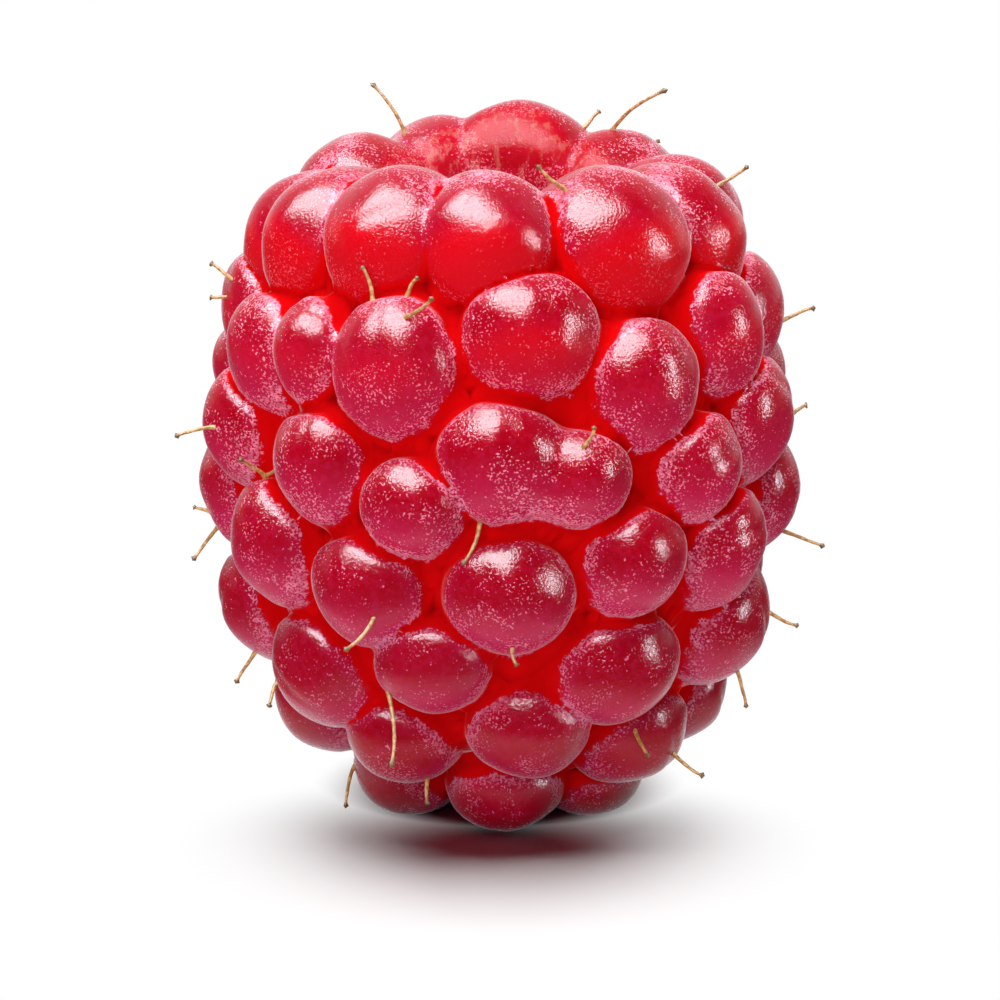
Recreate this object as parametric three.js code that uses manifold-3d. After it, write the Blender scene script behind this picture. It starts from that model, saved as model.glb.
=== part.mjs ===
// A picked raspberry, standing on its blunt tip with the hollow where its core was pulled out facing up.
// Millimetres, +Z up, origin on the surface it stands on, under the middle of the fruit.
//
// The fruit is one body: drupelets grown together in rings round a thimble-shaped wall.
// Each dry golden style is a hair of its own, standing on the drupelet that it grew from.
import * as THREE from "three";
import { mergeVertices } from "three/addons/utils/BufferGeometryUtils.js";
import Module from "manifold-3d";

const wasm = await Module();
wasm.setup();

// Driving dimensions
const wallOut = 0.9; // flesh between the drupelets, outside the wall line
const bulge = 2.4; // how far a drupelet stands out from the wall line
const depth = 0.8; // how far behind the wall line its ball is centred
const skirt = 0.35; // how far each drupelet runs on below its cap, into its neighbours
const droop = 14; // degrees that a drupelet leans from the wall towards the fruit's tip
const innerEnd = { halfWidth: 1.25, halfHeight: 1.7, bulge: 0.7 }; // a drupelet's blunt end in the hollow
const footDepth = 0.75; // how much the fruit's weight flattens the drupelets that it stands on
const styleRadius = 0.08;
const stigmaRadius = 0.14; // the small knob on a style's end
const styleGap = 0.03; // air between a style's foot and the skin

const colours = {
  flesh: { color: 0xb8102c, roughness: 0.42, metalness: 0 },
  style: { color: 0xb98a4a, roughness: 0.6, metalness: 0 },
};

// The wall line, from the tip to just past the rim: distance from the fruit's axis, then height.
const wallLine = new THREE.SplineCurve([
  new THREE.Vector2(0, 2.75),
  new THREE.Vector2(3.4, 2.75),
  new THREE.Vector2(6.7, 5.9),
  new THREE.Vector2(8.4, 10.0),
  new THREE.Vector2(8.75, 14.2),
  new THREE.Vector2(8.1, 18.8),
  new THREE.Vector2(6.5, 22.4),
  new THREE.Vector2(5.2, 23.9),
]);
wallLine.arcLengthDivisions = 400;
const wallLength = wallLine.getLength();
const rimUp = 25.4;

// The core that was pulled out, from the hollow's floor to above its mouth.
const coreLine = new THREE.SplineCurve([
  new THREE.Vector2(0, 7.9),
  new THREE.Vector2(2.0, 8.6),
  new THREE.Vector2(3.1, 11.5),
  new THREE.Vector2(3.6, 15.5),
  new THREE.Vector2(3.9, 19.5),
  new THREE.Vector2(4.0, 23.0),
  new THREE.Vector2(4.1, 27.0),
]);
const mouthHeight = 23;

// The rings of drupelets, from the tip to the rim. up is how far a ring lies along the wall from the tip.
// Each drupelet is [turn in degrees (0 faces -Y, 90 faces +X), shift up the wall, half width, half height],
// and behind says how many more of the usual size close the ring at the back.
const rings = [
  { name: "tip", up: 0, usual: [1.9, 1.9], drupelets: [[0, 0, 1.9, 1.9]], behind: 0 },
  {
    name: "foot",
    up: 3.7,
    usual: [2.2, 2.1],
    drupelets: [
      [-62, 0, 2.3, 2.1], [3, 0.2, 2.3, 2.1], [57, 0.1, 2.2, 2.1], [116, 0, 2.3, 2.1],
      [178, -0.2, 2.3, 2.2], [239, 0.1, 2.2, 2.1],
    ],
    behind: 0,
  },
  {
    name: "lowest",
    up: 7.2,
    usual: [2.4, 2.3],
    drupelets: [
      [-79, -0.1, 2.3, 2.2], [-31, 0.1, 2.2, 2.1], [8, 1, 2.3, 2.2], [48, -0.4, 2.4, 2.3],
      [87, 0, 2.3, 2.2],
    ],
    behind: 4,
  },
  {
    name: "lower",
    up: 10.7,
    usual: [2.5, 2.4],
    drupelets: [
      [-84, 0.5, 2.3, 2.5], [-50, -0.8, 2.4, 2.5], [-16, 0.4, 2.2, 2.1], [29, -0.1, 2.5, 2.4],
      [67, 0.5, 2.5, 2.6],
    ],
    behind: 4,
  },
  {
    name: "waist",
    up: 14.3,
    usual: [2.4, 2.4],
    drupelets: [
      [-94, 1.1, 2.4, 2.7], [-56, 0.3, 2.2, 2.5], [-29, -0.6, 2.3, 2.3], [2, -0.5, 2.4, 2.3],
      [29, 0.4, 2.1, 2.2], [54, 0.3, 2.1, 2.5], [92, 0.9, 2.4, 2.5],
    ],
    behind: 5,
  },
  {
    name: "shoulder",
    up: 17.7,
    usual: [2.3, 2.4],
    drupelets: [
      [-103, 1.6, 2.2, 2.4], [-74, 0.5, 2.3, 2.4], [-40, 0.1, 2.1, 2.3], [-18, -1.0, 2.0, 2.0],
      [0, 0.7, 2.3, 2.3], [17, -0.1, 1.9, 1.8], [45, -0.2, 2.0, 2.2], [71, 1, 2.4, 2.6],
    ],
    behind: 5,
  },
  {
    name: "upper",
    up: 21.6,
    usual: [2.4, 2.5],
    drupelets: [
      [-94, 0.5, 2.4, 2.4], [-63, -0.4, 2.2, 2.4], [-45, -0.2, 1.7, 2.1], [-24, -0.1, 2.4, 2.7],
      [7, 0.9, 2.5, 2.3], [33, -0.9, 2.2, 2.5], [60, 0.3, 2.1, 2.6], [88, 0.3, 2.5, 2.4],
    ],
    behind: 5,
  },
  {
    name: "rim",
    up: 25.2,
    usual: [2.5, 2.6],
    drupelets: [
      [-90, -0.5, 2.3, 2.5], [-64, 0, 2.2, 2.7], [-34, 0.5, 2.5, 2.6], [-4, 0.5, 2.4, 2.5],
      [37, 0.4, 2.8, 2.7], [71, 0, 2.4, 2.7], [101, 0, 2.3, 2.5], [134, 0.6, 2.5, 2.6],
      [171, 2, 2.9, 2.7], [-156, 1.1, 2.4, 2.6], [-124, 0.6, 2.5, 2.5],
    ],
    behind: 0,
  },
];

// A place on the wall line, and the directions out of it and round the fruit.
function placeOnWall(turnDegrees, up) {
  const share = THREE.MathUtils.clamp(up / wallLength, 0, 1);
  const middle = wallLine.getPointAt(share);
  const slope = wallLine.getTangentAt(share);
  const turn = THREE.MathUtils.degToRad(turnDegrees);
  const outward = new THREE.Vector3(Math.sin(turn), -Math.cos(turn), 0);
  const point = outward.clone().multiplyScalar(middle.x).setZ(middle.y);
  const out = outward.clone().multiplyScalar(slope.y).setZ(-slope.x).normalize();
  const round = new THREE.Vector3(Math.cos(turn), Math.sin(turn), 0);
  return { point, out, round };
}

// A ring's drupelets: the ones listed, then the ones that close it behind, a little uneven as they grow.
function drupeletsOf(ring) {
  const listed = [];
  for (const [turn, shift, halfWidth, halfHeight] of ring.drupelets) {
    listed.push({ turn, shift, halfWidth, halfHeight });
  }
  const last = listed[listed.length - 1];
  const gap = (listed[0].turn + 360 - last.turn) / (ring.behind + 1);
  for (let i = 1; i <= ring.behind; i++) {
    const wobble = Math.sin(2.4 * i + ring.up);
    const ease = i / (ring.behind + 1);
    listed.push({
      turn: last.turn + gap * (i + 0.12 * wobble),
      shift: THREE.MathUtils.lerp(last.shift, listed[0].shift, ease) + 0.35 * Math.sin(3.7 * i + ring.up),
      halfWidth: ring.usual[0] + 0.12 * wobble,
      halfHeight: ring.usual[1] - 0.1 * wobble,
    });
  }
  return listed.map((drupelet) => {
    const { point, out, round } = placeOnWall(drupelet.turn, ring.up + drupelet.shift);
    const lean = ring.up ? droop : 0;
    const axis = out.clone().applyAxisAngle(round, -THREE.MathUtils.degToRad(lean));
    const upward = new THREE.Vector3().crossVectors(axis, round);
    const centre = point.clone().addScaledVector(axis, -depth);
    return { ...drupelet, ring: ring.name, centre, axis, round, upward };
  });
}

function solidOf(geometry) {
  const bare = geometry.clone();
  bare.deleteAttribute("normal");
  bare.deleteAttribute("uv");
  const merged = mergeVertices(bare, 1e-4);
  return new wasm.Manifold(
    new wasm.Mesh({
      numProp: 3,
      vertProperties: merged.attributes.position.array,
      triVerts: new Uint32Array(merged.index.array),
    }),
  );
}

function geometryOf(solid) {
  const mesh = solid.getMesh();
  const geometry = new THREE.BufferGeometry();
  geometry.setAttribute("position", new THREE.BufferAttribute(mesh.vertProperties, 3));
  geometry.setIndex(new THREE.BufferAttribute(mesh.triVerts, 1));
  geometry.computeVertexNormals();
  return geometry;
}

// A drupelet's ball: round in front, and cut off short behind, inside the wall.
function roundedBall() {
  const profile = [new THREE.Vector2(0, -0.45), new THREE.Vector2(0.97, -0.24)];
  for (const fromPole of [76, 51, 26]) {
    const angle = THREE.MathUtils.degToRad(fromPole);
    profile.push(new THREE.Vector2(Math.sin(angle), Math.cos(angle)));
  }
  return new THREE.LatheGeometry([...profile, new THREE.Vector2(0, 1)], 10).rotateX(Math.PI / 2);
}

// A closed body turned round the fruit's axis.
function turnedSolid(profile) {
  return solidOf(new THREE.LatheGeometry(profile, 22).rotateX(Math.PI / 2));
}

// The flesh that the drupelets grow together in, as far out as the clefts between them.
function fleshBetween() {
  const steps = 11;
  const profile = [];
  for (let i = 0; i <= steps; i++) {
    const { point, out } = placeOnWall(90, (rimUp * i) / steps);
    point.addScaledVector(out, wallOut);
    profile.push(new THREE.Vector2(i ? point.x : 0, point.z));
  }
  const top = profile[steps].y;
  return turnedSolid([...profile, new THREE.Vector2(0, top)]);
}

function core() {
  const profile = coreLine.getSpacedPoints(9);
  return turnedSolid([...profile, new THREE.Vector2(0, profile[9].y)]);
}

// The blunt inner end of a drupelet, on the hollow's wall at the height of the drupelet's middle.
function innerEndOf(drupelet) {
  const level = Math.min(drupelet.centre.z, mouthHeight - innerEnd.halfHeight);
  const onCore = coreLine.getSpacedPoints(200).find((p) => p.y > level);
  const up = new THREE.Vector3(0, 0, 1);
  const outward = new THREE.Vector3().crossVectors(drupelet.round, up);
  const centre = outward.clone().multiplyScalar(onCore.x + innerEnd.bulge / 2).setZ(level);
  const turned = new THREE.Matrix4().makeBasis(drupelet.round, up, outward).setPosition(centre);
  const ball = new THREE.IcosahedronGeometry(1, 1);
  ball.scale(innerEnd.halfWidth, innerEnd.halfHeight, innerEnd.bulge);
  return solidOf(ball.applyMatrix4(turned));
}

const drupelets = rings.flatMap(drupeletsOf);

const outerBall = roundedBall();
let fruit = fleshBetween();
for (const { halfWidth, halfHeight, round, upward, axis, centre } of drupelets) {
  const turned = new THREE.Matrix4().makeBasis(round, upward, axis).setPosition(centre);
  const ball = outerBall.clone().scale(halfWidth + skirt, halfHeight + skirt, bulge + depth);
  fruit = fruit.add(solidOf(ball.applyMatrix4(turned)));
}
fruit = fruit.subtract(core());
for (const drupelet of drupelets) {
  if (drupelet.ring === "upper" || drupelet.ring === "rim") {
    fruit = fruit.add(innerEndOf(drupelet));
  }
}
const ground = new THREE.BoxGeometry(40, 40, 10).translate(0, 0, footDepth - 5);
fruit = fruit.subtract(solidOf(ground));

const raspberry = new THREE.Group();
const fruitMesh = new THREE.Mesh(geometryOf(fruit), new THREE.MeshStandardMaterial(colours.flesh));
fruitMesh.name = "fruit";
raspberry.add(fruitMesh);

// The styles still on the fruit. Each grows from the drupelet of that number in its ring, at a share of its
// half sizes round and up from the middle of its cap. lean is (round, up, out), and length is in mm.
const stylesInFront = [
  { ring: "rim", number: 10, at: [0.61, 0.59], lean: [0.4, 0.2, 0.9], length: 2.2 },
  { ring: "rim", number: 8, at: [0, 0.75], lean: [-0.75, 0.3, 0.6], length: 2.8 },
  { ring: "rim", number: 7, at: [-0.62, 0.12], lean: [-0.2, -0.2, 0.9], length: 1.3 },
  { ring: "rim", number: 9, at: [-0.81, 0.26], lean: [-0.6, 0, 0.8], length: 0.8 },
  { ring: "rim", number: 5, at: [-0.67, 0.52], lean: [-0.8, 0.6, 0.3], length: 1.3 },
  { ring: "upper", number: 1, at: [0.56, -0.06], lean: [-0.1, 0.1, 1], length: 1 },
  { ring: "upper", number: 1, at: [0.53, -0.35], lean: [-0.1, -0.6, 0.8], length: 0.6 },
  { ring: "upper", number: 4, at: [-0.31, 0.54], lean: [-0.3, 0.9, 0.4], length: 1.1 },
  { ring: "upper", number: 4, at: [0.2, 0.65], lean: [0.4, 0.8, 0.3], length: 0.7 },
  { ring: "upper", number: 4, at: [0.32, 0.28], lean: [0.8, 0.3, 0.4], length: 1.4 },
  { ring: "upper", number: 8, at: [-0.01, -0.67], lean: [0.1, -0.1, 1], length: 1.2 },
  { ring: "shoulder", number: 2, at: [0.41, -0.29], lean: [-0.4, -0.5, 0.8], length: 1.4 },
  { ring: "waist", number: 2, at: [-0.25, 0.8], lean: [0.1, 0.4, 0.9], length: 1.3 },
  { ring: "waist", number: 2, at: [-0.14, 0.82], lean: [0.9, 0.3, 0.2], length: 1.4 },
  { ring: "waist", number: 4, at: [-0.63, 0.35], lean: [-0.3, -0.9, 0.3], length: 1.5 },
  { ring: "shoulder", number: 6, at: [-0.15, 0.4], lean: [0.4, 0.7, 0.6], length: 0.8 },
  { ring: "shoulder", number: 8, at: [0.22, -0.36], lean: [0.8, 0.2, 0.6], length: 0.6 },
  { ring: "waist", number: 7, at: [0.77, -0.12], lean: [0, -1, 0.3], length: 1.2 },
  { ring: "waist", number: 1, at: [0.22, -0.63], lean: [0, 0.1, 1], length: 0.6 },
  { ring: "waist", number: 1, at: [0.25, -0.81], lean: [0.1, -0.9, 0.4], length: 1.5 },
  { ring: "waist", number: 3, at: [0.41, -0.46], lean: [-0.1, -0.6, 0.8], length: 1.6 },
  { ring: "waist", number: 4, at: [0.02, -0.85], lean: [0.1, -0.7, 0.7], length: 0.7 },
  { ring: "waist", number: 7, at: [-0.27, -0.8], lean: [-0.1, -0.5, 0.8], length: 1.6 },
  { ring: "lower", number: 1, at: [0.25, -0.81], lean: [-0.1, -0.8, 0.6], length: 1.3 },
  { ring: "lower", number: 3, at: [-0.66, -0.53], lean: [0.3, -0.7, 0.6], length: 2.8 },
  { ring: "lower", number: 5, at: [0.41, 0.01], lean: [0.2, -0.4, 0.9], length: 1.1 },
  { ring: "lower", number: 5, at: [-0.01, -0.79], lean: [-0.1, -0.9, 0.4], length: 1.3 },
  { ring: "lower", number: 2, at: [-0.44, -0.21], lean: [0.3, -0.6, 0.7], length: 0.9 },
  { ring: "lowest", number: 4, at: [-0.61, 0.47], lean: [-0.4, -0.1, 0.9], length: 1.4 },
  { ring: "lowest", number: 4, at: [0.2, 0], lean: [0.4, -0.3, 0.9], length: 1.3 },
  { ring: "foot", number: 1, at: [-0.37, 0.55], lean: [0.4, -0.2, 0.9], length: 1.6 },
  { ring: "lowest", number: 2, at: [0.49, -0.69], lean: [0.4, -0.3, 0.9], length: 1 },
];

// Behind, every other drupelet of the rings from the rim down to the lower one carries a style.
function stylesBehind() {
  const found = [];
  for (const ring of ["rim", "upper", "shoulder", "waist", "lower"]) {
    const around = drupelets.filter((d) => d.ring === ring);
    around.forEach((drupelet, i) => {
      const turnedAway = Math.cos(THREE.MathUtils.degToRad(drupelet.turn)) < -0.4;
      if (!turnedAway || (i + ring.length) % 2) return;
      const swing = Math.sin(5.1 * i + ring.length);
      const lean = [0.5 * swing, -0.5, 0.8];
      found.push({ ring, number: i + 1, at: [0.4 * swing, -0.3], lean, length: 1.4 + 0.5 * swing });
    });
  }
  return found;
}

// A style's curve: it stands on the skin, just clear of it, leans out and bends a little to one side.
function styleCurve({ ring, number, at, lean, length }, bendSide) {
  const drupelet = drupelets.filter((d) => d.ring === ring)[number - 1];
  const turned = new THREE.Matrix4().makeBasis(drupelet.round, drupelet.upward, drupelet.axis);
  const direction = new THREE.Vector3(...lean).normalize().applyMatrix4(turned);
  const outwards = Math.sqrt(1 - at[0] ** 2 - at[1] ** 2);
  const onCap = new THREE.Vector3(at[0] * drupelet.halfWidth, at[1] * drupelet.halfHeight, outwards * bulge);
  onCap.applyMatrix4(turned).add(drupelet.centre).addScaledVector(drupelet.axis, depth);
  const above = onCap.clone().addScaledVector(direction, 3);
  const skin = new THREE.Raycaster(above, direction.clone().negate()).intersectObject(fruitMesh)[0].point;
  const foot = skin.addScaledVector(direction, styleGap + styleRadius);
  const side = new THREE.Vector3().crossVectors(direction, drupelet.axis).normalize();
  const bend = side.multiplyScalar(0.1 * bendSide * length);
  const middle = foot.clone().addScaledVector(direction, 0.55 * length).add(bend);
  const tip = foot.clone().addScaledVector(direction, length).sub(bend);
  return new THREE.QuadraticBezierCurve3(foot, middle, tip);
}

// A style's body: share of its length against radius, carried along its curve.
function styleGeometry(curve) {
  const outline = [
    [0, 0], [0, 1.25 * styleRadius], [0.3, styleRadius], [0.86, 0.85 * styleRadius],
    [0.91, stigmaRadius], [0.97, stigmaRadius], [1, 0],
  ];
  const profile = outline.map(([along, radius]) => new THREE.Vector2(radius, along));
  const geometry = new THREE.LatheGeometry(profile, 5);
  const { normals, binormals } = curve.computeFrenetFrames(20);
  const position = geometry.attributes.position;
  for (let i = 0; i < position.count; i++) {
    const along = position.getY(i);
    const step = Math.round(along * 20);
    const point = curve.getPointAt(along);
    point.addScaledVector(binormals[step], position.getX(i));
    point.addScaledVector(normals[step], position.getZ(i));
    position.setXYZ(i, point.x, point.y, point.z);
  }
  return geometry;
}

const styleMaterial = new THREE.MeshStandardMaterial(colours.style);
raspberry.updateMatrixWorld(true);
[...stylesInFront, ...stylesBehind()].forEach((style, i) => {
  const mesh = new THREE.Mesh(styleGeometry(styleCurve(style, i % 2 ? 1 : -1)), styleMaterial);
  mesh.name = "style_" + String(i + 1).padStart(2, "0");
  raspberry.add(mesh);
});
for (const mesh of raspberry.children) mesh.position.z = -footDepth;

export default raspberry;
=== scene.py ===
import math

import bpy
import numpy as np
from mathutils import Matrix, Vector
from mathutils.bvhtree import BVHTree


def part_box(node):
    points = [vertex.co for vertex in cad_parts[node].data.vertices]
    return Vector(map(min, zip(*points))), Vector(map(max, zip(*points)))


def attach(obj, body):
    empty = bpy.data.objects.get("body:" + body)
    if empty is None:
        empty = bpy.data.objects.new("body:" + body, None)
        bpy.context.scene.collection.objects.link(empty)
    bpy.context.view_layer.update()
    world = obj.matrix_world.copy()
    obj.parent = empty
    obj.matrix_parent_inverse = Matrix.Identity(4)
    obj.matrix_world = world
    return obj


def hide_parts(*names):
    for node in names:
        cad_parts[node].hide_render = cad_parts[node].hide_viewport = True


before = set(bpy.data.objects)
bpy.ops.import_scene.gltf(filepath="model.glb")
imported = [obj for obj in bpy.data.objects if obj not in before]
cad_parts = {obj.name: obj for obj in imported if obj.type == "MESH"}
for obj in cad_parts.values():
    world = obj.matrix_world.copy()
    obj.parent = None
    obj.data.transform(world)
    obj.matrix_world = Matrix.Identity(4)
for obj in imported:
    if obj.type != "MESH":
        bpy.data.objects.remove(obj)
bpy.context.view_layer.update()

# A picked raspberry standing on its blunt tip, its hollow facing up, with the dry styles still on it.
mm = 0.001
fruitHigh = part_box("fruit")[1]
print("frame loaded:", len(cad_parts), "nodes")

cameraSetup = {
    "elevation": 14,  # degrees above the horizon
    "distance": 115 * mm,
    "lens": 111.8,
    "sensor": 36,  # mm wide
    "aimUp": 0.4435 * fruitHigh.z,  # the height it looks at
}


def addCamera():
    data = bpy.data.cameras.new("camera")
    data.lens = cameraSetup["lens"]
    data.sensor_width = cameraSetup["sensor"]
    data.clip_start = 1 * mm
    data.clip_end = 10
    camera = bpy.data.objects.new("camera", data)
    tilt = math.radians(cameraSetup["elevation"])
    back = Vector((0, -math.cos(tilt), math.sin(tilt)))
    camera.location = Vector((0, 0, cameraSetup["aimUp"])) + back * cameraSetup["distance"]
    camera.rotation_euler = (math.pi / 2 - tilt, 0, 0)
    bpy.context.scene.collection.objects.link(camera)
    bpy.context.scene.camera = camera


addCamera()

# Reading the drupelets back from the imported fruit

ball = {
    "sides": 10,  # round a packed drupelet
    "firstRing": math.radians(26),  # its first two rings, away from its pole
    "secondRing": math.radians(51),
    "reach": 3.2 * mm,  # centre to pole
    "skirt": 0.35 * mm,  # how far it runs on past its frosted cap
    "cutBehind": -0.45,  # where its back ends, as a share of its reach
    "hang": 0.13,  # how much farther the cap reaches below than above
    "offRound": 1e-4,  # how far off its ellipsoid a fitted drupelet's corners may be
}


def weldedNode(name):
    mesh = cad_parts[name].data
    spots = np.empty(len(mesh.vertices) * 3, np.float32)
    mesh.vertices.foreach_get("co", spots)
    spots, welded = np.unique(spots.reshape(-1, 3), axis=0, return_inverse=True)
    mesh.calc_loop_triangles()
    corners = np.empty(len(mesh.loop_triangles) * 3, np.int32)
    mesh.loop_triangles.foreach_get("vertices", corners)
    return spots.astype(float), welded.reshape(-1)[corners].reshape(-1, 3)


def neighboursOf(spots, tris):
    around = [set() for _ in spots]
    for a, b, c in tris.tolist():
        around[a].update((b, c))
        around[b].update((a, c))
        around[c].update((a, b))
    return around


def wholeDrupelets(spots, tris):
    # a whole drupelet shows its pole, a corner with a flat, even ring round it
    rise = ball["reach"] * (1 - math.cos(ball["firstRing"]))
    found = []
    for pole, near in enumerate(neighboursOf(spots, tris)):
        if len(near) != ball["sides"]:
            continue
        ring = spots[list(near)]
        middle = ring.mean(0)
        spread, directions = np.linalg.eigh(np.cov(ring.T, bias=True))
        out = spots[pole] - middle
        height = np.linalg.norm(out)
        if spread[0] > 1e-13 or abs(height - rise) > 0.002 * mm:
            continue
        axis = out / height
        halves = np.sqrt(2 * spread[1:]) / math.sin(ball["firstRing"])
        found.append({
            "pole": pole,
            "centre": spots[pole] - axis * ball["reach"],
            "frame": np.array([directions[:, 1], directions[:, 2], axis]),
            "half": np.array([halves[0], halves[1], ball["reach"]]),
        })
    return found


def ballThrough(points):
    # the ellipsoid through these points, and how far off the worst of them is
    shift = points.mean(0)
    x, y, z = ((points - shift) / mm).T
    rows = np.column_stack([x * x, y * y, z * z, 2 * y * z, 2 * x * z, 2 * x * y, 2 * x, 2 * y, 2 * z])
    p = np.linalg.lstsq(rows, np.ones(len(rows)), rcond=None)[0]
    form = np.array([[p[0], p[5], p[4]], [p[5], p[1], p[3]], [p[4], p[3], p[2]]])
    centre = -np.linalg.solve(form, p[6:])
    values, directions = np.linalg.eigh(form / (1 + centre @ form @ centre))
    if values[0] <= 0:
        return None, 1.0
    fit = {"centre": centre * mm + shift, "frame": directions.T.copy(), "half": mm / np.sqrt(values)}
    return fit, np.abs(rows @ p - 1).max()


def tipBallThrough(points):
    # the drupelet at the tip stands on its pole: what shows of it starts at its second ring
    lowest = points[points[:, 2] < points[:, 2].min() + 0.01 * mm]
    half = np.linalg.norm(lowest[:, :2], axis=1).mean() / math.sin(ball["secondRing"])
    centre = lowest[:, 2].mean() + ball["reach"] * math.cos(ball["secondRing"])
    return {
        "centre": np.array([0, 0, centre]),
        "frame": np.array([[1.0, 0, 0], [0, 1, 0], [0, 0, -1]]),
        "half": np.array([half, half, ball["reach"]]),
    }


def drupeletPatches(spots, tris):
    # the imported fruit's surface in patches, parted at its creases: the corners inside each one
    flat = (spots[tris][:, :, 2] < 1e-6).all(1)
    a, b, c = spots[tris[:, 0]], spots[tris[:, 1]], spots[tris[:, 2]]
    normals = np.cross(b - a, c - a)
    normals /= np.maximum(np.linalg.norm(normals, axis=1), 1e-20)[:, None]
    sharing = {}
    for face, corners in enumerate(tris.tolist()):
        for i in range(3):
            edge = tuple(sorted((corners[i], corners[i - 1])))
            sharing.setdefault(edge, []).append((face, corners[i - 2]))
    beside = [[] for _ in tris]
    for edge, pair in sharing.items():
        if len(pair) != 2:
            continue
        (f, _), (g, far) = pair
        if flat[f] or flat[g] or (spots[far] - spots[edge[0]]) @ normals[f] > 1e-6:
            continue
        beside[f].append(g)
        beside[g].append(f)
    patchOf = np.full(len(tris), -1)
    count = 0
    for start in range(len(tris)):
        if patchOf[start] >= 0 or flat[start]:
            continue
        patchOf[start] = count
        waiting = [start]
        while waiting:
            for other in beside[waiting.pop()]:
                if patchOf[other] < 0:
                    patchOf[other] = count
                    waiting.append(other)
        count += 1
    lowest = np.full(len(spots), count)
    highest = np.full(len(spots), -2)
    np.minimum.at(lowest, tris.ravel(), np.repeat(patchOf, 3))
    np.maximum.at(highest, tris.ravel(), np.repeat(patchOf, 3))
    whole = np.flatnonzero(lowest == highest)
    return [whole[lowest[whole] == patch] for patch in range(count)]


def restOfDrupelets(spots, tris, poles):
    # the fruit stands on some poles, and creases cross a few others: those are fitted to what shows
    found = []
    for patch in drupeletPatches(spots, tris):
        if len(patch) < 8 or len(patch) > 40 or poles & set(patch.tolist()):
            continue
        points = spots[patch]
        if np.linalg.norm(points.mean(0)[:2]) < 0.5 * mm and points[:, 2].max() < 2 * mm:
            found.append(tipBallThrough(points))
            continue
        if len(points) < 14:
            continue
        # corners of a neighbour may have come along: they lie farthest from its outermost corner
        outermost = points[np.argmax(np.linalg.norm(points - [0, 0, fruitHigh.z / 2], axis=1))]
        points = points[np.argsort(np.linalg.norm(points - outermost, axis=1))]
        fit, error = ballThrough(points)
        while error > ball["offRound"] and len(points) > 11:
            points = points[:-1]
            fit, error = ballThrough(points)
        if error > ball["offRound"] or abs(fit["half"][0] - ball["reach"]) > 0.1 * mm:
            continue
        fit["frame"] = fit["frame"][[1, 2, 0]]
        fit["half"] = fit["half"][[1, 2, 0]]
        outward = fit["centre"] - [0, 0, fruitHigh.z / 2]
        if fit["frame"][2] @ outward < 0:
            fit["frame"][2] *= -1
        found.append(fit)
    return found


fruitSpots, fruitTris = weldedNode("fruit")
drupelets = wholeDrupelets(fruitSpots, fruitTris)
poles = {d["pole"] for d in drupelets}
drupelets += restOfDrupelets(fruitSpots, fruitTris, poles)
drupelets.sort(key=lambda d: (round(d["centre"][2], 4), math.atan2(d["centre"][0], -d["centre"][1])))
print("drupelets found:", len(drupelets))

centres = np.array([d["centre"] for d in drupelets])
frames = np.array([d["frame"] for d in drupelets])
halves = np.array([d["half"] for d in drupelets])
upTheWall = np.array([0, 0, 1.0]) - frames[:, 2] * frames[:, 2, 2:3]
upTheWall /= np.maximum(np.linalg.norm(upTheWall, axis=1), 0.2)[:, None]

grownTogether = [(42, 39)]  # by their numbers, counted up from the tip
families = [[i] for i in range(len(drupelets)) if not any(i in pair for pair in grownTogether)]
families += [list(pair) for pair in grownTogether]

skin = {
    "voxel": 0.2 * mm,  # how fine its mesh is
    "crease": 0.1 * mm,  # how softly neighbouring drupelets meet
    "grown": 0.2 * mm,  # and those grown together
    "rounded": 0.25 * mm,  # how round the caps' corners are
    "near": 0.3 * mm,  # within this, it follows the drupelets' round shape
    "far": 0.65 * mm,  # beyond this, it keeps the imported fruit's own
    "lump": 0.05 * mm,
    "lumpSize": 2.6 * mm,
    "dent": 0.07 * mm,  # how deep the soft folds across some of the caps are
    "dentShare": 0.4,  # how many of the caps have one
    "dentShift": 0.9 * mm,  # how far off the middle it may lie
    "dentWidth": (0.16, 0.3),  # mm
    "dentLength": 1.3 * mm,
    "nearby": 5 * mm,  # a drupelet farther off than this has no say
    "innerEnd": 0.42 * mm,  # how far a drupelet's blunt end stands into the hollow
    "webBelow": -0.16 * mm,  # how far from a groove the caps end, on their lower sides
    "webAbove": 0.55 * mm,  # and on their upper sides
    "webLow": 0.10 * mm,  # and on their upper sides near the tip
    "sink": 0.34 * mm,  # how much lower the smooth skirts lie than the caps
    "seed": 11,
}


def waves(points, size, seed):
    # smooth random lumps, about -1 to 1
    random = np.random.default_rng(seed)
    total = np.zeros(len(points))
    for _ in range(7):
        direction = random.normal(size=3)
        direction *= 2 * math.pi * random.uniform(0.7, 1.4) / (size * np.linalg.norm(direction))
        total += np.sin(points @ direction + random.uniform(0, 2 * math.pi))
    return total / 3


def foldsOf(number):
    # a drupelet's soft fold: how it lies across the cap, how far off the middle, how deep and how wide
    random = np.random.default_rng(skin["seed"] + number)
    turn = random.uniform(0, math.pi)
    offset = random.uniform(-1, 1)
    share = random.uniform()
    width = random.uniform(*skin["dentWidth"])
    depth = skin["dent"] if share < skin["dentShare"] else 0
    return turn, offset * skin["dentShift"], depth, width * mm


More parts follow.
